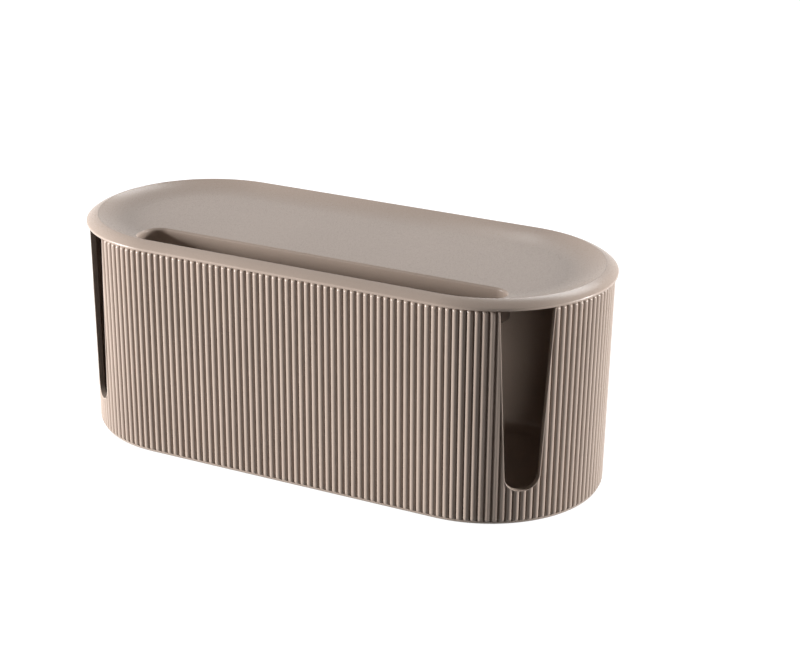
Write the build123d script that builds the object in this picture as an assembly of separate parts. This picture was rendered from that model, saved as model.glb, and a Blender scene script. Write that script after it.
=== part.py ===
from build123d import *
import math
import os

# Cable management box: an oval, fluted, open-topped box that hides a power strip, with a lift-off
# dished lid. Millimetres. X runs along the box, -Y is the side with the lid's slot, +Z is up, and
# the origin is under the middle of the box, on the surface it stands on.

# ---- overall ----
LENGTH = 310.0               # over the lid
WIDTH = 135.0                # over the lid
HEIGHT = 125.0               # from the surface to the crest of the lid's rim

# ---- box wall and floor ----
FOOT_PROUD = 1.0             # how far the feet hold the box off the surface
WALL = 1.7                   # behind the grooves between the ribs
FLOOR = 2.5
WALL_DRAFT = 1.9             # how much narrower each side is at the bottom than at the top
FLOOR_FILLET = 10.0          # inside, where the wall meets the floor
PLINTH_HEIGHT = 2.2          # smooth band under the ribs
PLINTH_ROUND = 0.8           # its lower edge
TOP_REVEAL = 0.8             # from the tops of the ribs up to the lid's lower edge

# ---- ribs ----
RIB_PITCH = 3.86             # target spacing, adjusted to a whole number of ribs
RIB_DEPTH = 1.2

# ---- cable notches, one at each end, near the front ----
NOTCH_ANGLE = 42.0           # round the end, from the front
NOTCH_TOP_WIDTH = 28.8       # at the wall's top edge
NOTCH_FOOT_WIDTH = 18.0      # at the bottom of the notch, before its corners are rounded
NOTCH_SILL = 16.8            # from the floor inside up to the bottom of the notch
NOTCH_FLAT = 1.2             # about what its rounded corners leave flat at the bottom

# ---- lid ----
LID_OVERHANG = 1.5           # past the crests of the ribs
LID_SHELL = 2.2              # thickness of the dish
LID_EDGE = 4.8               # from the lid's lower edge up to the crest of its rim
LID_EDGE_ROUND = 0.6         # lower outer edge
RIM_WIDTH = 6.5              # from the lid's outline in to the crest
RIM_SIDE = 0.9               # upright part of the rim's outer face
DISH_DEPTH = 4.5             # from the crest down to the dish's flat floor
DISH_SLOPE_WIDTH = 20.0      # from the crest in to the flat floor
LID_FIT = 0.4                # gap between the box's lip and the inside of the lid's rim

# ---- slot through the lid ----
SLOT_LEFT_MARGIN = 50.0      # from the lid's left end
SLOT_RIGHT_MARGIN = 41.5     # from the lid's right end
SLOT_FRONT_MARGIN = 10.6     # from the lid's front side
SLOT_WIDTH = 28.5            # from its back edge to its front edge
SLOT_BACK_ROUND = 9.5        # its back corners
SLOT_FRONT_ROUND = 18.5      # its front corners
COLLAR_WALL = 1.8
COLLAR_DROP = 12.5           # from the dish's floor down to the collar's lower edge

# ---- feet ----
FOOT_DIAMETER = 12.0
FOOT_LET_IN = 1.0            # how far they are let into the underside
FOOT_ROUND = 0.4             # lower edge of the foot
FOOT_FIT = 0.2               # around the foot in its recess
FOOT_INSET_X = 62.0          # from the ends of the lid
FOOT_INSET_Y = 27.0          # from the sides of the lid

# ---- worked out from the above ----
STRAIGHT = LENGTH - WIDTH                        # length of the oval's straight sides
BASE_Z = FOOT_PROUD                              # underside of the box
FLOOR_Z = BASE_Z + FLOOR
LID_FOOT_Z = HEIGHT - LID_EDGE                   # lower edge of the lid
RIB_TOP_Z = LID_FOOT_Z - TOP_REVEAL
LIP_TOP_Z = HEIGHT - LID_SHELL                   # the box's lip, which carries the lid from inside
RIB_FOOT_Z = BASE_Z + PLINTH_HEIGHT
CREST_RADIUS = WIDTH / 2 - LID_OVERHANG          # of the rib crests round the ends, at the top
PERIMETER = 2 * STRAIGHT + 2 * math.pi * CREST_RADIUS
RIB_COUNT = 2 * round(PERIMETER / RIB_PITCH / 2)
DRAFT_ANGLE = math.degrees(math.atan(WALL_DRAFT / (LID_FOOT_Z - BASE_Z)))
WALL_DEPTH = RIB_DEPTH + WALL                    # from a rib's crest to the inside of the wall
DISH_Z = HEIGHT - DISH_DEPTH
CREST_R = WIDTH / 2 - RIM_WIDTH                  # from the oval's spine to the rim's crest
DISH_R = CREST_R - DISH_SLOPE_WIDTH              # from the spine to the edge of the dish's floor
COLLAR_Z = DISH_Z - COLLAR_DROP
SILL_Z = FLOOR_Z + NOTCH_SILL
FOOT_THICKNESS = FOOT_PROUD + FOOT_LET_IN


def crest_inset(z):
    """Distance of the rib crests inside the lid's outline at height z."""
    return LID_OVERHANG + WALL_DRAFT * (LID_FOOT_Z - z) / (LID_FOOT_Z - BASE_Z)


def lip_inset():
    """Distance of the lip's outside inside the lid's outline: it continues the grooves upwards."""
    return crest_inset(RIB_TOP_Z) + RIB_DEPTH


def oval(inset):
    """Flat oval with half-round ends, inset from the lid's outline."""
    return SlotOverall(LENGTH - 2 * inset, WIDTH - 2 * inset)


def outline_point(run, inset):
    """Point on the inset oval, at a distance run along the crests from the middle of the front."""
    half = STRAIGHT / 2
    radius = WIDTH / 2 - inset
    end_run = math.pi * CREST_RADIUS
    if run <= half:
        return (run, -radius)
    if run <= half + end_run:
        turn = (run - half) / CREST_RADIUS
        return (half + radius * math.sin(turn), -radius * math.cos(turn))
    if run <= half + end_run + STRAIGHT:
        return (STRAIGHT + end_run - run, radius)
    if run <= PERIMETER - half:
        turn = (run - 3 * half - end_run) / CREST_RADIUS
        return (-half - radius * math.sin(turn), radius * math.cos(turn))
    return (run - PERIMETER, -radius)


def ribbed_section(z):
    """The box's outline at height z: one convex arc for each rib, meeting in sharp grooves."""
    pitch = PERIMETER / RIB_COUNT
    crest = crest_inset(z)
    groove = crest + RIB_DEPTH
    arcs = []
    for rib in range(RIB_COUNT):
        start = outline_point(rib * pitch, groove)
        top = outline_point((rib + 0.5) * pitch, crest)
        end = outline_point(((rib + 1) % RIB_COUNT) * pitch, groove)
        arcs.append(ThreePointArc(start, top, end))
    return Pos(0, 0, z) * make_face(Wire(arcs))


def notch_cutter():
    """U-shaped prism through the right-hand end wall, open at the top."""
    foot = NOTCH_FOOT_WIDTH / 2
    slope = (NOTCH_TOP_WIDTH / 2 - foot) / (LID_FOOT_Z - SILL_Z)
    head = foot + slope * (HEIGHT - SILL_Z)
    shape = make_face(Polyline((-foot, SILL_Z), (foot, SILL_Z), (head, HEIGHT), (-head, HEIGHT),
                               close=True))
    corners = shape.vertices().sort_by(Axis.Y)[:2]
    shape = fillet(corners, (NOTCH_FOOT_WIDTH - NOTCH_FLAT) / 2)
    prism = extrude(Plane.XZ * shape, WIDTH / 2)
    return Pos(STRAIGHT / 2, 0, 0) * Rot(0, 0, NOTCH_ANGLE) * prism


def foot_places():
    """Centres of the four feet, by node name."""
    x = LENGTH / 2 - FOOT_INSET_X
    y = WIDTH / 2 - FOOT_INSET_Y
    return {
        "foot_front_left": (-x, -y),
        "foot_front_right": (x, -y),
        "foot_rear_left": (-x, y),
        "foot_rear_right": (x, y),
    }


def disc(radius, height, x, y, z):
    """Upright cylinder standing at a point."""
    return Pos(x, y, z) * Cylinder(radius, height, align=(Align.CENTER, Align.CENTER, Align.MIN))


def box_body():
    """The fluted, open-topped box with its two cable notches."""
    ribs = loft([ribbed_section(RIB_FOOT_Z), ribbed_section(RIB_TOP_Z)], ruled=True)
    plinth = extrude(Pos(0, 0, BASE_Z) * oval(crest_inset(RIB_FOOT_Z)), PLINTH_HEIGHT)
    plinth = fillet(plinth.edges().group_by(Axis.Z)[0], PLINTH_ROUND)
    lip = extrude(Pos(0, 0, RIB_TOP_Z) * oval(lip_inset()), LIP_TOP_Z - RIB_TOP_Z)
    cavity_foot = Pos(0, 0, FLOOR_Z) * oval(crest_inset(FLOOR_Z) + WALL_DEPTH)
    cavity = extrude(cavity_foot, HEIGHT - FLOOR_Z, taper=-DRAFT_ANGLE)
    cavity = fillet(cavity.edges().group_by(Axis.Z)[0], FLOOR_FILLET)
    notch = notch_cutter()
    body = ribs + plinth + lip - cavity - notch - mirror(notch, Plane.YZ)
    for x, y in foot_places().values():
        body -= disc(FOOT_DIAMETER / 2 + FOOT_FIT, FOOT_LET_IN, x, y, BASE_Z)
    return body


def foot(x, y):
    """Soft pad, let into the underside of the box."""
    pad = disc(FOOT_DIAMETER / 2, FOOT_THICKNESS, x, y, 0)
    return fillet(pad.edges().group_by(Axis.Z)[0], FOOT_ROUND)


def round_the_oval(section):
    """Solid of a half section, distance out from the oval's spine against height, run all round."""
    half = STRAIGHT / 2
    front = Plane(origin=(half, 0, 0), x_dir=(0, -1, 0), z_dir=(-1, 0, 0)) * section
    side = extrude(front, STRAIGHT)
    end = revolve(front, Axis((half, 0, 0), (0, 0, 1)), 180)
    return side + mirror(side, Plane.XZ) + end + mirror(end, Plane.YZ)


def lid_top_edges():
    """Upper line of the lid's half section: flat floor, dished slope, rounded rim and its side."""
    outer = WIDTH / 2
    side_top = LID_FOOT_Z + LID_EDGE_ROUND + RIM_SIDE
    return [
        Line((0, DISH_Z), (DISH_R, DISH_Z)),
        TangentArc((DISH_R, DISH_Z), (CREST_R, HEIGHT), tangent=(1, 0)),
        EllipticalCenterArc((CREST_R, side_top), RIM_WIDTH, HEIGHT - side_top, arc_size=90),
        Line((outer, side_top), (outer, LID_FOOT_Z + LID_EDGE_ROUND)),
        RadiusArc((outer, LID_FOOT_Z + LID_EDGE_ROUND), (outer - LID_EDGE_ROUND, LID_FOOT_Z),
                  LID_EDGE_ROUND),
    ]


def lid_shell():
    """The dished lid without its slot, hollow under its rim."""
    outer = WIDTH / 2
    under_z = DISH_Z - LID_SHELL
    rim_inner_r = outer - lip_inset() + LID_FIT
    under = [
        Line((outer - LID_EDGE_ROUND, LID_FOOT_Z), (rim_inner_r, LID_FOOT_Z)),
        Line((rim_inner_r, LID_FOOT_Z), (rim_inner_r, LIP_TOP_Z)),
        Line((rim_inner_r, LIP_TOP_Z), (CREST_R, LIP_TOP_Z)),
        TangentArc((DISH_R, under_z), (CREST_R, LIP_TOP_Z), tangent=(1, 0)),
        Line((DISH_R, under_z), (0, under_z)),
        Line((0, under_z), (0, DISH_Z)),
    ]
    return round_the_oval(make_face(Wire(lid_top_edges() + under)))


def slot_shape():
    """The slot's outline: a long opening, its front corners rounder than its back ones."""
    left = -LENGTH / 2 + SLOT_LEFT_MARGIN
    right = LENGTH / 2 - SLOT_RIGHT_MARGIN
    front = -WIDTH / 2 + SLOT_FRONT_MARGIN
    back = front + SLOT_WIDTH
    shape = make_face(Polyline((left, front), (right, front), (right, back), (left, back),
                               close=True))
    shape = fillet(shape.vertices().sort_by(Axis.Y)[-2:], SLOT_BACK_ROUND)
    return fillet(shape.vertices().sort_by(Axis.Y)[:2], SLOT_FRONT_ROUND)


def lid():
    """The dished lid with the slot and the collar that hangs round it."""
    shape = slot_shape()
    side = WIDTH / 2 - LID_EDGE_ROUND
    down = Polyline((side, LID_FOOT_Z), (side, COLLAR_Z), (0, COLLAR_Z), (0, DISH_Z))
    envelope = round_the_oval(make_face(Wire(lid_top_edges() + down.edges())))
    height = HEIGHT - COLLAR_Z
    collar = extrude(Pos(0, 0, COLLAR_Z) * offset(shape, COLLAR_WALL), height) & envelope
    opening = extrude(Pos(0, 0, COLLAR_Z) * shape, height)
    return lid_shell() + collar - opening


def parts():
    """Every piece of the box, by node name."""
    pieces = {"box_body": box_body(), "lid": lid()}
    for name, (x, y) in foot_places().items():
        pieces[name] = foot(x, y)
    return pieces


os.makedirs("parts", exist_ok=True)
for name, piece in parts().items():
    export_step(piece, f"parts/{name}.step")
    print(name, round(piece.volume), "mm3")
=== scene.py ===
import math

import bmesh
import bpy
from mathutils import Matrix, Quaternion, Vector


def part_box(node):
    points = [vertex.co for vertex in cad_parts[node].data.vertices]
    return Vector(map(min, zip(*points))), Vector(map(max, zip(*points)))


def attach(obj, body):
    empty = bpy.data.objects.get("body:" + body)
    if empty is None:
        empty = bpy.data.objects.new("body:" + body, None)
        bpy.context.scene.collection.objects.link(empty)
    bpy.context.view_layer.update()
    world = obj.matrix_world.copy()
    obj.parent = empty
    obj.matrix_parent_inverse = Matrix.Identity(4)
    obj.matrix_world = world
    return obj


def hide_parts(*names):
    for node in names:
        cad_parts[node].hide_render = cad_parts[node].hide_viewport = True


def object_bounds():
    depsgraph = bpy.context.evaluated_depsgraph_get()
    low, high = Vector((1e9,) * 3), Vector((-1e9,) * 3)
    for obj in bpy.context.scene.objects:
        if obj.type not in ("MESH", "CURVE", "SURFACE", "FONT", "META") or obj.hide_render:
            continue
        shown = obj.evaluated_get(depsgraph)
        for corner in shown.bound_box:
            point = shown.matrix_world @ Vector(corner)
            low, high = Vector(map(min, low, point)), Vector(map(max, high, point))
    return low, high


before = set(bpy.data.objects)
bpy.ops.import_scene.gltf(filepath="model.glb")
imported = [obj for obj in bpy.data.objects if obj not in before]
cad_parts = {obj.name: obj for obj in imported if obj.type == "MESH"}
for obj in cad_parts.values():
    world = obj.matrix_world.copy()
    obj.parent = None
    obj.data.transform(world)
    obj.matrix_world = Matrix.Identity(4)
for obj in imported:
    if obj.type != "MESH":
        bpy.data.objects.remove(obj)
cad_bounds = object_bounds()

bl_info = {
    "name": "Fluted Cable Box",
    "version": (1, 0, 0),
    "blender": (4, 5, 0),
    "location": "View3D > Sidebar > Cable Box",
    "description": "Builds an oval fluted cable box with a dished lid, and a pale studio round it",
    "category": "Add Mesh",
}

# Metres. X runs along the box, -Y is the side with the lid's slot, +Z is up.
MM = 0.001
MERGE = 0.001 * MM                   # points closer than this become one
FEET = ("foot_front_left", "foot_front_right", "foot_rear_left", "foot_rear_right")

# ---- from the frame ----
LENGTH = cad_bounds[1].x - cad_bounds[0].x
WIDTH = cad_bounds[1].y - cad_bounds[0].y
HEIGHT = cad_bounds[1].z
HALF = (LENGTH - WIDTH) / 2          # from the middle of the box to the centre of each round end
BASE_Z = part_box("box_body")[0].z     # underside of the box
LIP_TOP_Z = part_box("box_body")[1].z
COLLAR_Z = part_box("lid")[0].z        # lower edge of the slot's collar


def length(name, description, millimetres):
    """A length that the user can change."""
    return bpy.props.FloatProperty(
        name=name, description=description, default=millimetres * MM, unit="LENGTH"
    )


def count(name, description, default):
    """A whole number that the user can change."""
    return bpy.props.IntProperty(name=name, description=description, default=default, min=1)


def share(name, description, default):
    """A number from 0 to 1 that the user can change."""
    return bpy.props.FloatProperty(
        name=name, description=description, default=default, min=0, max=1, subtype="FACTOR"
    )


def colour(name, description, default):
    """A colour that the user can change."""
    return bpy.props.FloatVectorProperty(
        name=name, description=description, default=default, size=3, min=0, max=1, subtype="COLOR"
    )


def angle(name, description, degrees):
    """An angle that the user can change."""
    return bpy.props.FloatProperty(
        name=name, description=description, default=math.radians(degrees), subtype="ANGLE"
    )


def watts(name, description, default):
    """A lamp's power."""
    return bpy.props.FloatProperty(name=name, description=description, default=default, unit="POWER")


class BodySizes(bpy.types.PropertyGroup):
    """Sizes of the fluted body."""

    rib_count: count("Ribs", "Ribs all the way round", 198)
    rib_depth: length("Rib Depth", "From a rib's crest to the grooves beside it", 1.9)
    rib_end: length("Rib End", "Length of the rounded end of each rib", 1.4)
    wall: length("Wall", "From the rib crests to the inside of the wall", 2.9)
    floor: length("Floor", "Thickness of the floor", 2.5)
    draft: length("Draft", "How much narrower each side is at the bottom", 1.9)
    floor_fillet: length("Floor Fillet", "Inside, where the wall meets the floor", 10.0)
    plinth: length("Plinth", "Height of the smooth band under the ribs", 1.7)
    plinth_round: length("Plinth Round", "Lower edge of the band", 1.5)
    plinth_step: length("Plinth Step", "How far the band stands behind the rib crests", 0.9)
    reveal: length("Reveal", "From the ribs up to the lid's lower edge", 0.8)
    foot_recess: length("Foot Recess", "Radius of the recesses for the feet", 6.2)
    foot_let_in: length("Foot Let In", "Depth of those recesses", 1.0)


class NotchSizes(bpy.types.PropertyGroup):
    """Sizes of the two cable notches."""

    turn: angle("Turn", "Place of each notch round its end, from the front", 42)
    top_width: length("Top Width", "Width at the top of the wall", 28.8)
    foot_width: length("Foot Width", "Width at the bottom, before its corners are rounded", 18.0)
    sill: length("Sill", "Bottom of the notch above the floor inside", 16.8)
    round: length("Corner Radius", "Its two lower corners", 8.4)
    edging: length("Edging", "Width of the rounded bead round the notch", 0.7)
    edging_depth: length("Edging Depth", "How far the bead stands behind the rib crests", 0.05)


class LidSizes(bpy.types.PropertyGroup):
    """Sizes of the dished lid and its slot."""

    overhang: length("Overhang", "Past the crests of the ribs", 1.5)
    shell: length("Shell", "Thickness of the dish", 2.2)
    edge: length("Edge", "From the lower edge up to the rim's crest", 4.8)
    edge_round: length("Edge Round", "Lower outer edge", 0.6)
    rim_width: length("Rim Width", "From the outline in to the crest", 6.5)
    crest_round: length("Crest Round", "Radius along the crest", 0.7)
    face_top: angle("Face Top", "Tilt of the rim's outer face beside the crest", 16)
    face_foot: angle("Face Foot", "Tilt of the rim's outer face at its foot", 38)
    face_round: length("Face Round", "Radius from the rim's outer face to its upright side", 1.0)
    dish_depth: length("Dish Depth", "From the crest down to the flat floor", 4.5)
    slope: length("Slope", "From the crest in to the flat floor", 20.0)
    rim_wall: length("Rim Wall", "Thickness of the rim at its lower edge", 2.31)
    slot_left: length("Slot Left", "Left end of the slot from the lid's left end", 50.0)
    slot_right: length("Slot Right", "Right end of the slot from the lid's right end", 41.5)
    slot_front: length("Slot Front", "Front edge of the slot from the lid's front side", 10.6)
    slot_width: length("Slot Width", "From its back edge to its front edge", 28.5)
    back_round: length("Back Corners", "Radius of the slot's back corners", 9.5)
    front_round: length("Front Corners", "Radius of the slot's front corners", 18.5)
    chamfer: length("Chamfer", "Width of the eased edge round the slot", 0.95)
    collar: length("Collar", "Wall of the collar that hangs round the slot", 1.8)


class Finish(bpy.types.PropertyGroup):
    """Colours and gloss of the moulded parts."""

    plastic: colour("Plastic", "Taupe of the box and the lid", (0.36, 0.285, 0.238))
    roughness: share("Roughness", "Roughness of the moulded plastic", 0.28)
    rubber: colour("Rubber", "Colour of the feet", (0.10, 0.085, 0.075))
    rubber_roughness: share("Rubber Roughness", "Roughness of the feet", 0.8)


class Studio(bpy.types.PropertyGroup):
    """Light round the box."""

    left: watts("Left Lamp", "Raking lamp low at the left", 45.0)
    right: watts("Right Lamp", "Raking lamp low at the right", 30.0)
    back: watts("Back Lamp", "Soft lamp above and behind", 11.0)
    fill: share("Fill", "Light of the surroundings", 0.04)
    floor: share("Floor", "Brightness of the floor", 0.94)


class CableBox(bpy.types.PropertyGroup):
    """All settings."""

    body: bpy.props.PointerProperty(type=BodySizes, name="Body", description="Fluted body")
    notch: bpy.props.PointerProperty(type=NotchSizes, name="Notches", description="Cable notches")
    lid: bpy.props.PointerProperty(type=LidSizes, name="Lid", description="Dished lid")
    finish: bpy.props.PointerProperty(type=Finish, name="Finish", description="Colours")
    studio: bpy.props.PointerProperty(type=Studio, name="Studio", description="Lamps")


# ---- shared shapes ----
SHARP_ANGLE = 35         # degrees between two faces from which their edge stays sharp
LARGE_FACES = 90         # out of 100, how closely the shading follows the larger faces
ROUND_PROFILE = 0.5      # of a bevel


def lid_foot_z(box):
    """Height of the lid's lower edge."""
    return HEIGHT - box.lid.edge


def crest_inset(box, z):
    """Distance of the rib crests inside the lid's outline at height z."""
    foot = lid_foot_z(box)
    return box.lid.overhang + box.body.draft * (foot - z) / (foot - BASE_Z)


def floor_z(box):
    """Height of the floor inside."""
    return BASE_Z + box.body.floor


def arc(centre, radii, start, turn, steps):
    """Points along an arc or part of an ellipse, angles in degrees from the first axis."""
    points = []
    for step in range(steps + 1):
        here = math.radians(start + turn * step / steps)
        across = centre[0] + radii[0] * math.cos(here)
        points.append((across, centre[1] + radii[1] * math.sin(here)))
    return points


def verts_in(geom):
    """The vertices among what an operator gives."""
    return [item for item in geom if isinstance(item, bmesh.types.BMVert)]


def edges_in(geom):
    """The edges among what an operator gives."""
    return [item for item in geom if isinstance(item, bmesh.types.BMEdge)]


def fill_holes(bm):
    """Closes every open outline with a face."""
    bmesh.ops.holes_fill(bm, edges=[edge for edge in bm.edges if edge.is_boundary], sides=0)


def make_object(name, bm):
    """A bmesh as an object with its doubles merged and its faces pointing outwards."""
    bmesh.ops.remove_doubles(bm, verts=bm.verts, dist=MERGE)
    bmesh.ops.recalc_face_normals(bm, faces=bm.faces)
    mesh = bpy.data.meshes.new(name)
    bm.to_mesh(mesh)
    bm.free()
    made = bpy.data.objects.new(name, mesh)
    bpy.context.scene.collection.objects.link(made)
    return made


def carve(piece, tool, operation):
    """Cuts the tool out of the piece or joins it on, then removes the tool."""
    modifier = piece.modifiers.new(operation.lower(), "BOOLEAN")
    modifier.operation = operation
    modifier.solver = "EXACT"
    modifier.object = tool
    depsgraph = bpy.context.evaluated_depsgraph_get()
    result = bpy.data.meshes.new_from_object(piece.evaluated_get(depsgraph))
    if len(result.polygons) < len(tool.data.polygons):
        raise RuntimeError(f"{operation} with {tool.name} left {piece.name} empty")
    piece.modifiers.clear()
    piece.data = result
    bpy.data.objects.remove(tool)


def clean_up(piece):
    """Removes the slivers that the cuts leave, and makes sure that the piece is one closed part."""
    bm = bmesh.new()
    bm.from_mesh(piece.data)
    bmesh.ops.dissolve_degenerate(bm, edges=bm.edges, dist=MERGE)
    if not all(edge.is_manifold for edge in bm.edges):
        raise RuntimeError(f"{piece.name} is not closed")
    bm.verts.ensure_lookup_table()
    reached = {bm.verts[0]}
    waiting = [bm.verts[0]]
    while waiting:
        for edge in waiting.pop().link_edges:
            fresh = set(edge.verts) - reached
            reached |= fresh
            waiting.extend(fresh)
    if len(reached) < len(bm.verts):
        raise RuntimeError(f"{piece.name} has loose parts")
    bm.to_mesh(piece.data)
    bm.free()


def finish_piece(piece, node, body, material):
    """Shades a piece, and lets it stand for a CAD node."""
    clean_up(piece)
    piece.data.name = piece.name
    for polygon in piece.data.polygons:
        polygon.use_smooth = True
    piece.data.set_sharp_from_angle(angle=math.radians(SHARP_ANGLE))
    even = piece.modifiers.new("even_shading", "WEIGHTED_NORMAL")
    even.keep_sharp = True
    even.weight = LARGE_FACES
    piece.data.materials.clear()
    piece.data.materials.append(material)
    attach(piece, body)
    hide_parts(node)


def extruded(bm, edges, move):
    """Extrudes edges by a vector. Gives the new edges."""
    made = bmesh.ops.extrude_edge_only(bm, edges=edges)["geom"]
    bmesh.ops.translate(bm, verts=verts_in(made), vec=move)
    return [edge for edge in edges_in(made) if edge.is_boundary]


# ---- fluted body ----
# Rounded end of a rib: place along it, and the rib's depth there as a share of its full depth.
ROUNDED_END = ((0, 0.5), (0.4, 0.86), (1, 1.0))
RIB_FACES = 8                    # across one rib
LIP_EASE = 0.3 * MM              # eased edges of the lip
BEAD_PAST_WALL = 0.1 * MM        # how far a notch's bead stands out inside the wall
BEAD_SHORT = 0.05 * MM           # how far it ends under the tops of the ribs
BEAD_ROUND = 0.48                # rounding of its two front edges, as a share of its width
TOOL_REACH = 0.6 * WIDTH         # of the notch's tool, out from the centre of the round end
RECESS_SIDES = 48                # of the discs over the feet


def rib_column(bm, box, pitch):
    """One rib with its share of plinth, lip, wall and floor fillet, laid out flat.

    X runs along the wall, Y is the depth behind the rib crests and Z is the height.
    """
    body = box.body
    depth = body.rib_depth
    foot = BASE_Z + body.plinth
    top = lid_foot_z(box) - body.reveal
    radius = (pitch * pitch / 4 + depth * depth) / (2 * depth)
    turn = 2 * math.asin(pitch / 2 / radius)
    rows = [(foot + along * body.rib_end, deep) for along, deep in ROUNDED_END]
    rows += [(top - along * body.rib_end, deep) for along, deep in reversed(ROUNDED_END)]
    start = bm.verts.new((0, depth, foot))
    spun = bmesh.ops.spin(
        bm, geom=[start], cent=(pitch / 2, radius, foot), axis=(0, 0, 1), angle=turn,
        steps=RIB_FACES, use_duplicate=False,
    )
    row = bm.edges[:]
    end = verts_in(spun["geom_last"])[0]
    groove = Matrix.Translation((0, -depth, 0))
    bmesh.ops.scale(bm, vec=(1, rows[0][1], 1), space=groove, verts=bm.verts)
    first_row = sorted(bm.verts, key=lambda vert: vert.co.x)
    for (low, before), (high, after) in zip(rows, rows[1:]):
        row = extruded(bm, row, (0, 0, high - low))
        verts = list({vert for edge in row for vert in edge.verts})
        bmesh.ops.scale(bm, vec=(1, after / before, 1), space=groove, verts=verts)
    last_row = sorted({vert for edge in row for vert in edge.verts}, key=lambda vert: vert.co.x)
    bm.faces.new(last_row)
    close_wall(bm, box, bm.edges.get((last_row[0], last_row[-1])))
    step = [bm.verts.new((vert.co.x, body.plinth_step, foot)) for vert in (end, start)]
    bm.faces.new(first_row + step)
    close_plinth(bm, box, bm.edges.get(step))


def follow(bm, edge, points):
    """Extrudes an edge along points of depth and height."""
    depth, height = edge.verts[0].co.y, edge.verts[0].co.z
    edges = [edge]
    for next_depth, next_height in points:
        edges = extruded(bm, edges, (0, next_depth - depth, next_height - height))
        # Only the edge along the wall goes on, not those at its two ends.
        edges = [item for item in edges if abs(item.verts[0].co.x - item.verts[1].co.x) > MM]
        depth, height = next_depth, next_height


def close_wall(bm, box, edge):
    """From a rib's top over the lip, down inside the wall and round the floor fillet."""
    groove = box.body.rib_depth
    wall = box.body.wall
    fillet = box.body.floor_fillet
    outside = [(groove, LIP_TOP_Z - LIP_EASE), (groove + LIP_EASE, LIP_TOP_Z)]
    inside = [(wall - LIP_EASE, LIP_TOP_Z), (wall, LIP_TOP_Z - LIP_EASE)]
    corner = arc((wall + fillet, floor_z(box) + fillet), (fillet, fillet), 180, 90, steps=4)
    follow(bm, edge, outside + inside + corner)


def close_plinth(bm, box, edge):
    """From the plinth's top edge down and round to the underside."""
    step, ease = box.body.plinth_step, box.body.plinth_round
    follow(bm, edge, arc((step + ease, BASE_Z + ease), (ease, ease), 180, 90, steps=3))


def wrap(bm, box):
    """Bends the flat wall round the oval."""
    radius = WIDTH / 2 - box.lid.overhang
    end_run = math.pi * radius
    around = 4 * HALF + 2 * end_run
    for vert in bm.verts:
        run, depth, height = vert.co
        reach = WIDTH / 2 - crest_inset(box, height) - depth
        if run <= HALF:
            place = (run, -reach)
        elif run <= HALF + end_run:
            turn = (run - HALF) / radius
            place = (HALF + reach * math.sin(turn), -reach * math.cos(turn))
        elif run <= 3 * HALF + end_run:
            place = (2 * HALF + end_run - run, reach)
        elif run <= around - HALF:
            turn = (run - 3 * HALF - end_run) / radius
            place = (-HALF - reach * math.sin(turn), reach * math.cos(turn))
        else:
            place = (run - around, -reach)
        vert.co = (place[0], place[1], height)


def notch_outline(box, grow):
    """Outline of a notch across and up, made wider all round by grow."""
    notch = box.notch
    sill = floor_z(box) + notch.sill
    foot = notch.foot_width / 2
    lean = math.atan((notch.top_width / 2 - foot) / (lid_foot_z(box) - sill))
    radius = notch.round
    side = foot + math.tan(lean) * radius - radius / math.cos(lean)
    start = math.degrees(lean)
    right = arc((side, sill + radius), (radius + grow,) * 2, -start, -90 + start, steps=10)
    head = foot + math.tan(lean) * (HEIGHT - sill) + grow / math.cos(lean)
    right = [(head, HEIGHT)] + right
    return right + [(-across, up) for across, up in reversed(right)]


def outline_face(bm, points, at):
    """A face with an outline given across and up, standing upright at a place along Y."""
    return bm.faces.new([bm.verts.new((across, at, up)) for across, up in points])


def turn_to_notch(bm, box, side):
    """Takes what is drawn at the middle of the front of the end's centre round to its notch."""
    turn = Matrix.Rotation(side * box.notch.turn, 4, "Z")
    place = Matrix.Translation((side * HALF, 0, 0))
    bmesh.ops.transform(bm, matrix=place @ turn, verts=bm.verts)


def notch_tool(box, side):
    """Prism that cuts one notch, wide enough for half of its edging."""
    bm = bmesh.new()
    face = outline_face(bm, notch_outline(box, box.notch.edging / 2), 0)
    made = bmesh.ops.extrude_face_region(bm, geom=[face])["geom"]
    bmesh.ops.translate(bm, verts=verts_in(made), vec=(0, -TOOL_REACH, 0))
    turn_to_notch(bm, box, side)
    return make_object("notch_tool", bm)


def notch_edging(box, side):
    """Rounded bead round one notch, through the whole wall."""
    notch = box.notch
    bm = bmesh.new()
    verts = [bm.verts.new((across, notch.edging_depth, up)) for across, up in notch_outline(box, 0)]
    edges = [bm.edges.new(pair) for pair in zip(verts, verts[1:])]
    extruded(bm, edges, (0, box.body.wall + BEAD_PAST_WALL - notch.edging_depth, 0))
    bmesh.ops.recalc_face_normals(bm, faces=bm.faces)
    bmesh.ops.solidify(bm, geom=bm.faces[:], thickness=outward_sign(bm) * notch.edging)
    top = lid_foot_z(box) - box.body.reveal - BEAD_SHORT
    bmesh.ops.bisect_plane(
        bm, geom=bm.verts[:] + bm.edges[:] + bm.faces[:], plane_co=(0, 0, top),
        plane_no=(0, 0, 1), clear_outer=True,
    )
    fill_holes(bm)
    rims = [edge for edge in bm.edges if is_rim(edge, notch.edging_depth)]
    bmesh.ops.bevel(
        bm, geom=rims, offset=BEAD_ROUND * notch.edging, segments=3, profile=ROUND_PROFILE,
        affect="EDGES", material=-1,
    )
    for vert in bm.verts:
        across, depth, up = vert.co
        reach = WIDTH / 2 - crest_inset(box, up) - depth
        vert.co = (across, -math.sqrt(reach * reach - across * across), up)
    turn_to_notch(bm, box, side)
    return make_object("notch_edging", bm)


def outward_sign(bm):
    """Sign of the thickness that grows the notch's side faces away from its middle."""
    side = max(bm.faces, key=lambda face: face.calc_center_median().x)
    return -1 if side.normal.x > 0 else 1


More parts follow.
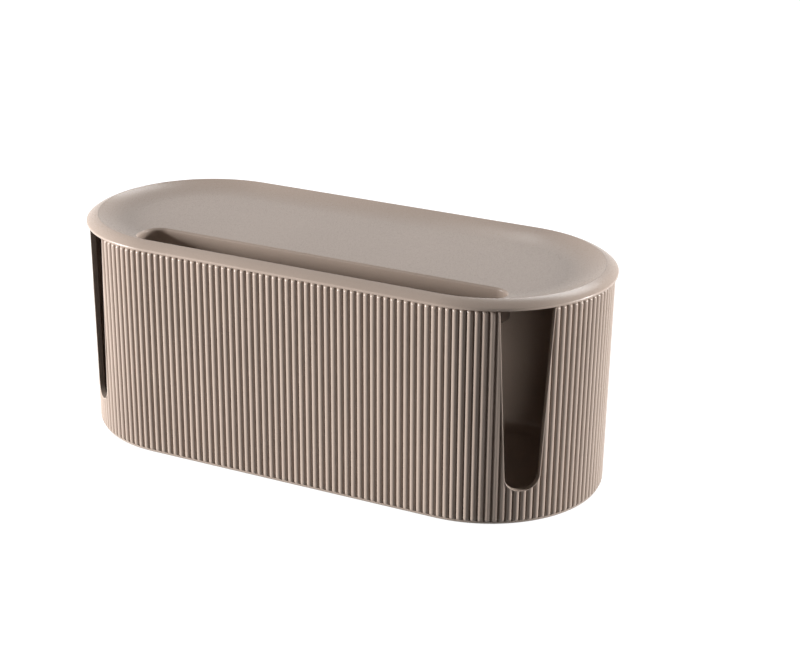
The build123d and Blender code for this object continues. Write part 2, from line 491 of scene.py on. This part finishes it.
def is_rim(edge, depth):
    """True for an edge between the bead's front face and one of its long sides."""
    if not all(abs(vert.co.y - depth) < 0.01 * MM for vert in edge.verts):
        return False
    fronts = [face for face in edge.link_faces if abs(face.normal.y) > 0.5]
    ends = [face for face in edge.link_faces if is_upper_end(face)]
    return len(fronts) == 1 and not ends


def is_upper_end(face):
    """True for the level face at the upper end of either side of the bead."""
    return abs(face.normal.z) >= 0.9 and face.calc_center_median().z >= HEIGHT / 2


def foot_recesses(box):
    """Discs that are let into the underside over the feet."""
    bm = bmesh.new()
    for node in FEET:
        low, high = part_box(node)
        middle = (low + high) / 2
        place = Matrix.Translation((middle.x, middle.y, BASE_Z))
        bmesh.ops.create_cone(
            bm, cap_ends=True, segments=RECESS_SIDES, radius1=box.body.foot_recess,
            radius2=box.body.foot_recess, depth=2 * box.body.foot_let_in, matrix=place,
        )
    return make_object("foot_recesses", bm)


def fluted_body(box):
    """The whole body of the box as one closed shape."""
    radius = WIDTH / 2 - box.lid.overhang
    ribs = box.body.rib_count
    pitch = (4 * HALF + 2 * math.pi * radius) / ribs
    bm = bmesh.new()
    rib_column(bm, box, pitch)
    column = bm.verts[:] + bm.edges[:] + bm.faces[:]
    for rib in range(1, ribs):
        copy = bmesh.ops.duplicate(bm, geom=column)["geom"]
        bmesh.ops.translate(bm, verts=verts_in(copy), vec=(rib * pitch, 0, 0))
    wrap(bm, box)
    bmesh.ops.remove_doubles(bm, verts=bm.verts, dist=MERGE)
    fill_holes(bm)
    piece = make_object("fluted_box", bm)
    for side in (-1, 1):
        carve(piece, notch_tool(box, side), "DIFFERENCE")
        carve(piece, notch_edging(box, side), "UNION")
    carve(piece, foot_recesses(box), "DIFFERENCE")
    return piece


# ---- lid ----
CREST_BACK = 24              # degrees that the crest's round goes on past its top, to the dish
CREST_LOW = 0.05 * MM        # how far the crest stays under the full height
END_STEPS = 64               # round each end of the lid
FRONT_STEPS = 16             # round each front corner of the slot
BACK_STEPS = 10              # round each of its back corners
COLLAR_EASE = 0.4 * MM       # eased lower edge of the collar
# Eased edge of the slot, in shares of its width: how far out, and how far over the lid's face.
EASED_EDGE = ((0, -1.25), (0.05, -1.0), (0.2, -0.75), (0.75, -0.2), (0.95, -0.05), (1.25, 0.1))
TOOL_HEAD = 1.3              # how far out the slot's tool is at its top, in the same shares
TOOL_PAST = 5 * MM           # how far it goes past the collar and over the rim


def dish_arc(box):
    """Radius of the dish's slope, and the distance of its foot from the oval's spine."""
    slope, depth = box.lid.slope, box.lid.dish_depth
    return (slope * slope + depth * depth) / (2 * depth), WIDTH / 2 - box.lid.rim_width - slope


def lid_height(box, place):
    """Height of the dish over a point inside the crest."""
    reach = math.hypot(max(abs(place[0]) - HALF, 0), place[1])
    radius, foot = dish_arc(box)
    rise = radius - math.sqrt(radius**2 - max(reach - foot, 0) ** 2)
    return HEIGHT - box.lid.dish_depth + rise


def rim_profile(box):
    """Outer half of the rim's section: a tight crest, a gently rounded face and its corners."""
    lid = box.lid
    crest = WIDTH / 2 - lid.rim_width
    outer = WIDTH / 2
    lower = lid_foot_z(box)
    top, foot = math.degrees(lid.face_top), math.degrees(lid.face_foot)
    middle = (crest, HEIGHT - lid.crest_round - CREST_LOW)
    tip = arc(middle, (lid.crest_round,) * 2, 90 + CREST_BACK, -CREST_BACK - top, steps=5)
    across = math.sin(lid.face_foot) - math.sin(lid.face_top)
    room = outer - lid.face_round * (1 - math.sin(lid.face_foot)) - tip[-1][0]
    radius = room / across
    middle = (
        tip[-1][0] - radius * math.sin(lid.face_top), tip[-1][1] - radius * math.cos(lid.face_top)
    )
    face = arc(middle, (radius, radius), 90 - top, top - foot, steps=6)
    middle = (outer - lid.face_round, face[-1][1] - lid.face_round * math.cos(lid.face_foot))
    corner = arc(middle, (lid.face_round,) * 2, 90 - foot, foot - 90, steps=5)
    middle = (outer - lid.edge_round, lower + lid.edge_round)
    edge = arc(middle, (lid.edge_round,) * 2, 0, -90, steps=4)
    return tip + face[1:] + corner[1:] + edge


def lid_profile(box):
    """Half section of the lid without its flat middle: distance from the spine, and height."""
    lid = box.lid
    radius, foot = dish_arc(box)
    dish = HEIGHT - lid.dish_depth
    tilt = math.degrees(math.asin(lid.slope / radius))
    ease = math.degrees(math.asin(lid.crest_round / radius))
    slope = arc((foot, dish + radius), (radius, radius), -90, tilt - ease, steps=12)
    inner = WIDTH / 2 - lid.rim_wall
    under = [(inner, lid_foot_z(box)), (inner, LIP_TOP_Z)]
    middle = (foot, dish - lid.shell + radius)
    hollow = arc(middle, (radius, radius), -90 + tilt, -tilt, steps=8)
    return slope + rim_profile(box) + under + hollow


def lid_shell(box):
    """The dished lid without its slot."""
    bm = bmesh.new()
    verts = [bm.verts.new((HALF, -reach, height)) for reach, height in lid_profile(box)]
    edges = [bm.edges.new(pair) for pair in zip(verts, verts[1:])]
    geom = verts + edges
    for side in (1, -1):
        spun = bmesh.ops.spin(
            bm, geom=geom, cent=(side * HALF, 0, 0), axis=(0, 0, 1), angle=math.pi,
            steps=END_STEPS, use_duplicate=False,
        )
        made = bmesh.ops.extrude_edge_only(bm, edges=edges_in(spun["geom_last"]))["geom"]
        moved = verts_in(made)
        bmesh.ops.translate(bm, verts=moved, vec=(-side * 2 * HALF, 0, 0))
        geom = moved + [edge for edge in edges_in(made) if set(edge.verts) <= set(moved)]
    bmesh.ops.remove_doubles(bm, verts=bm.verts, dist=MERGE)
    fill_holes(bm)
    return make_object("dished_lid", bm)


def slot_loop(bm, box, grow, height):
    """Closed outline of the slot, made wider all round by grow. Gives its edges.

    The height is a number, or a function of a place for an outline that follows the lid's face.
    """
    lid = box.lid
    left = -LENGTH / 2 + lid.slot_left - grow
    right = LENGTH / 2 - lid.slot_right + grow
    front = -WIDTH / 2 + lid.slot_front - grow
    back = front + lid.slot_width + 2 * grow
    size = Matrix.Diagonal(((right - left) / 2, (back - front) / 2, 1, 1))
    place = Matrix.Translation(((left + right) / 2, (back + front) / 2, 0))
    made = bmesh.ops.create_grid(bm, x_segments=1, y_segments=1, size=1, matrix=place @ size)
    corners = sorted(made["verts"], key=lambda vert: vert.co.y)
    known = set(bm.verts) - set(corners)
    rounds = (
        (corners[:2], lid.front_round, FRONT_STEPS),
        (corners[2:], lid.back_round, BACK_STEPS),
    )
    for verts, radius, segments in rounds:
        bmesh.ops.bevel(
            bm, geom=verts, offset=radius + grow, segments=segments, profile=ROUND_PROFILE,
            affect="VERTICES", material=-1,
        )
    loop = [vert for vert in bm.verts if vert not in known]
    for vert in loop:
        vert.co.z = height(vert.co) if callable(height) else height
    face = loop[0].link_faces[0]
    edges = list(face.edges)
    bmesh.ops.delete(bm, geom=[face], context="FACES_ONLY")
    return edges


def slot_sleeve(bm, loops):
    """Joins outlines of the slot into a closed shape."""
    for low, high in zip(loops, loops[1:]):
        bmesh.ops.bridge_loops(bm, edges=low + high)
    for ends in (loops[0], loops[-1]):
        bmesh.ops.contextual_create(bm, geom=ends)


def above_lid(box, rise):
    """Height over the lid's upper face, as a function of a place."""
    return lambda place: lid_height(box, place) + rise


def slot_tool(box):
    """Cuts the slot with its eased upper edge."""
    bm = bmesh.new()
    width = box.lid.chamfer
    loops = [slot_loop(bm, box, 0, COLLAR_Z - TOOL_PAST)]
    for grow, rise in EASED_EDGE:
        loops.append(slot_loop(bm, box, grow * width, above_lid(box, rise * width)))
    loops.append(slot_loop(bm, box, TOOL_HEAD * width, HEIGHT + TOOL_PAST))
    slot_sleeve(bm, loops)
    return make_object("slot_tool", bm)


def collar(box):
    """Wall that hangs round the slot. The slot's own tool opens it."""
    bm = bmesh.new()
    wall = box.lid.collar
    slot_sleeve(bm, [
        slot_loop(bm, box, wall - COLLAR_EASE, COLLAR_Z),
        slot_loop(bm, box, wall, COLLAR_Z + COLLAR_EASE),
        slot_loop(bm, box, wall, above_lid(box, -box.lid.shell / 2)),
    ])
    bmesh.ops.triangulate(bm, faces=[face for face in bm.faces if len(face.verts) > 4])
    return make_object("collar", bm)


def dished_lid(box):
    """The lid with its collar and slot."""
    piece = lid_shell(box)
    carve(piece, collar(box), "UNION")
    carve(piece, slot_tool(box), "DIFFERENCE")
    return piece


# ---- materials ----
CLOUDS = 14                  # scale of the clouding
TINT = 0.04                  # how much darker and lighter the clouds are
UNEVEN_GLOSS = 0.05          # how far the roughness goes to either side
SPECULAR = 0.3
BUMP = 0.12
PLASTIC_GRAIN = (2600, 0.01 * MM)        # scale and relief
RUBBER_GRAIN = (1500, 0.04 * MM)


def moulded(name, colour_value, roughness, grain, relief):
    """Moulded plastic or rubber: faint clouding of the colour, uneven gloss and a fine grain."""
    material = bpy.data.materials.new(name)
    material.use_nodes = True
    nodes, links = material.node_tree.nodes, material.node_tree.links
    shader = nodes["Principled BSDF"]
    shader.inputs["IOR"].default_value = 1.5
    shader.inputs["Specular IOR Level"].default_value = SPECULAR
    place = nodes.new("ShaderNodeTexCoord").outputs["Object"]

    clouds = nodes.new("ShaderNodeTexNoise")
    clouds.inputs["Scale"].default_value = CLOUDS
    clouds.inputs["Detail"].default_value = 4
    links.new(place, clouds.inputs["Vector"])
    tint = nodes.new("ShaderNodeValToRGB")
    tint.color_ramp.elements[0].position = 0.3
    tint.color_ramp.elements[0].color = [(1 - TINT) * value for value in colour_value] + [1]
    tint.color_ramp.elements[1].position = 0.7
    tint.color_ramp.elements[1].color = [(1 + TINT) * value for value in colour_value] + [1]
    links.new(clouds.outputs["Fac"], tint.inputs["Fac"])
    links.new(tint.outputs["Color"], shader.inputs["Base Color"])

    speckle = nodes.new("ShaderNodeTexNoise")
    speckle.inputs["Scale"].default_value = grain
    speckle.inputs["Detail"].default_value = 3
    links.new(place, speckle.inputs["Vector"])
    gloss = nodes.new("ShaderNodeMapRange")
    gloss.inputs["To Min"].default_value = roughness - UNEVEN_GLOSS
    gloss.inputs["To Max"].default_value = roughness + UNEVEN_GLOSS
    links.new(speckle.outputs["Fac"], gloss.inputs["Value"])
    links.new(gloss.outputs["Result"], shader.inputs["Roughness"])
    bump = nodes.new("ShaderNodeBump")
    bump.inputs["Strength"].default_value = BUMP
    bump.inputs["Distance"].default_value = relief
    links.new(speckle.outputs["Fac"], bump.inputs["Height"])
    links.new(bump.outputs["Normal"], shader.inputs["Normal"])
    return material


def plastic(box):
    """Taupe plastic, shared by the box and the lid."""
    name = "satin_taupe_plastic"
    known = bpy.data.materials.get(name)
    return known or moulded(name, box.finish.plastic, box.finish.roughness, *PLASTIC_GRAIN)


# ---- studio ----
CAMERA_TARGET = (34.667 * MM, 0, 76.949 * MM)
CAMERA_DISTANCE = 1110.57 * MM
CAMERA_ROUND = 0.4719            # radians round from the front
CAMERA_UP = 0.3629               # radians up
CAMERA_ROLL = 0.0111             # radians
SENSOR = 36                      # millimetres
FOCAL_LENGTH = 2038.5 / 800      # as a share of the sensor's width
# Degrees round from the front, degrees up, distance, and width and height of each lamp.
LEFT_LAMP = (-55.5, 9, 1.4, (0.3, 0.4))
RIGHT_LAMP = (112, 8, 1.4, (0.3, 0.3))
BACK_LAMP = (180, 48, 1.4, (0.8, 0.5))
FLOOR_REACH = 6                  # metres, from the middle to each side
FLOOR_GREY = 0.2
FLOOR_ROUGHNESS = 0.9


def look_at(name, data, target, turn, rise, distance, roll=0):
    """Puts a camera or a lamp where it looks at the target from an angle round and an angle up."""
    towards = Vector((
        math.sin(turn) * math.cos(rise),
        -math.cos(turn) * math.cos(rise),
        math.sin(rise),
    ))
    made = bpy.data.objects.new(name, data)
    made.rotation_mode = "QUATERNION"
    made.location = Vector(target) + towards * distance
    made.rotation_quaternion = towards.to_track_quat("Z", "Y") @ Quaternion((0, 0, 1), roll)
    bpy.context.scene.collection.objects.link(made)
    return made


def camera():
    """Looks down at the front from the right."""
    data = bpy.data.cameras.new("camera")
    data.sensor_width = SENSOR
    data.lens = FOCAL_LENGTH * SENSOR
    bpy.context.scene.camera = look_at(
        "camera", data, CAMERA_TARGET, CAMERA_ROUND, CAMERA_UP, CAMERA_DISTANCE, CAMERA_ROLL
    )


def lamp(name, power, turn, rise, distance, size):
    """Soft rectangular lamp that looks at the middle of the box."""
    data = bpy.data.lights.new(name, "AREA")
    data.energy = power
    data.shape = "RECTANGLE"
    data.size, data.size_y = size
    middle = (0, 0, HEIGHT / 2)
    look_at(name, data, middle, math.radians(turn), math.radians(rise), distance)


def seen_directly(nodes, links):
    """1 for what the camera sees directly, by reflection or through glass, and 0 for other light."""
    path = nodes.new("ShaderNodeLightPath")
    either = nodes.new("ShaderNodeMath")
    either.operation = "MAXIMUM"
    links.new(path.outputs["Is Camera Ray"], either.inputs[0])
    links.new(path.outputs["Is Glossy Ray"], either.inputs[1])
    all_three = nodes.new("ShaderNodeMath")
    all_three.operation = "MAXIMUM"
    links.new(either.outputs[0], all_three.inputs[0])
    links.new(path.outputs["Is Transmission Ray"], all_three.inputs[1])
    return all_three.outputs[0]


def surroundings(box):
    """White to the camera, and a soft fill light to the box."""
    world = bpy.data.worlds.new("surroundings")
    bpy.context.scene.world = world
    world.use_nodes = True
    nodes, links = world.node_tree.nodes, world.node_tree.links
    background = nodes["Background"]
    background.inputs["Color"].default_value = (1, 1, 1, 1)
    strength = nodes.new("ShaderNodeMapRange")
    strength.inputs["To Min"].default_value = box.studio.fill
    links.new(seen_directly(nodes, links), strength.inputs["Value"])
    links.new(strength.outputs["Result"], background.inputs["Strength"])


def floor(box):
    """Wide pale floor, white to the camera except in the box's shadow."""
    bm = bmesh.new()
    bmesh.ops.create_grid(bm, x_segments=1, y_segments=1, size=FLOOR_REACH)
    made = make_object("floor", bm)
    material = bpy.data.materials.new("pale_floor")
    material.use_nodes = True
    nodes, links = material.node_tree.nodes, material.node_tree.links
    shader = nodes["Principled BSDF"]
    shader.inputs["Base Color"].default_value = (FLOOR_GREY, FLOOR_GREY, FLOOR_GREY, 1)
    shader.inputs["Roughness"].default_value = FLOOR_ROUGHNESS
    shader.inputs["Emission Color"].default_value = (1, 1, 1, 1)
    glow = nodes.new("ShaderNodeMapRange")
    glow.inputs["To Max"].default_value = box.studio.floor
    links.new(seen_directly(nodes, links), glow.inputs["Value"])
    links.new(glow.outputs["Result"], shader.inputs["Emission Strength"])
    made.data.materials.append(material)


# ---- operators ----
class BuildBody(bpy.types.Operator):
    """Builds the fluted body with its cable notches"""

    bl_idname = "cable_box.body"
    bl_label = "Fluted Body"

    def execute(self, context):
        box = context.scene.cable_box
        piece = fluted_body(box)
        finish_piece(piece, "box_body", "box", plastic(box))
        return {"FINISHED"}


class BuildLid(bpy.types.Operator):
    """Builds the dished lid with its slot and collar"""

    bl_idname = "cable_box.lid"
    bl_label = "Dished Lid"

    def execute(self, context):
        box = context.scene.cable_box
        piece = dished_lid(box)
        finish_piece(piece, "lid", "lid", plastic(box))
        return {"FINISHED"}


class FinishFeet(bpy.types.Operator):
    """Gives the four feet their rubber"""

    bl_idname = "cable_box.feet"
    bl_label = "Feet"

    def execute(self, context):
        finish = context.scene.cable_box.finish
        rubber = moulded(
            "foot_rubber", finish.rubber, finish.rubber_roughness, *RUBBER_GRAIN
        )
        for node in FEET:
            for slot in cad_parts[node].material_slots:
                slot.material = rubber
        return {"FINISHED"}


class BuildStudio(bpy.types.Operator):
    """Sets up the camera, the lamps, the surroundings and the floor"""

    bl_idname = "cable_box.studio"
    bl_label = "Studio"

    def execute(self, context):
        context.scene.view_settings.view_transform = "Standard"
        box = context.scene.cable_box
        studio = box.studio
        camera()
        surroundings(box)
        floor(box)
        lamp("left_lamp", studio.left, *LEFT_LAMP)
        lamp("right_lamp", studio.right, *RIGHT_LAMP)
        lamp("back_lamp", studio.back, *BACK_LAMP)
        return {"FINISHED"}


class CableBoxPanel(bpy.types.Panel):
    """Sidebar panel"""

    bl_idname = "VIEW3D_PT_cable_box"
    bl_label = "Cable Box"
    bl_space_type = "VIEW_3D"
    bl_region_type = "UI"
    bl_category = "Cable Box"

    def draw(self, context):
        box = context.scene.cable_box
        for group in (box.body, box.notch, box.lid, box.finish, box.studio):
            column = self.layout.column()
            for name in group.__annotations__:
                column.prop(group, name)
        for operator in OPERATORS:
            self.layout.operator(operator.bl_idname)


GROUPS = (BodySizes, NotchSizes, LidSizes, Finish, Studio, CableBox)
OPERATORS = (BuildStudio, BuildBody, BuildLid, FinishFeet)


def register():
    """Adds the classes and the settings."""
    for item in GROUPS + OPERATORS + (CableBoxPanel,):
        bpy.utils.register_class(item)
    bpy.types.Scene.cable_box = bpy.props.PointerProperty(type=CableBox)


def unregister():
    """Takes the settings and the classes away."""
    del bpy.types.Scene.cable_box
    for item in reversed(GROUPS + OPERATORS + (CableBoxPanel,)):
        bpy.utils.unregister_class(item)


def main():
    """Builds everything."""
    register()
    bpy.ops.cable_box.studio()
    bpy.ops.cable_box.body()
    bpy.ops.cable_box.lid()
    bpy.ops.cable_box.feet()


if __name__ == "__main__":
    main()
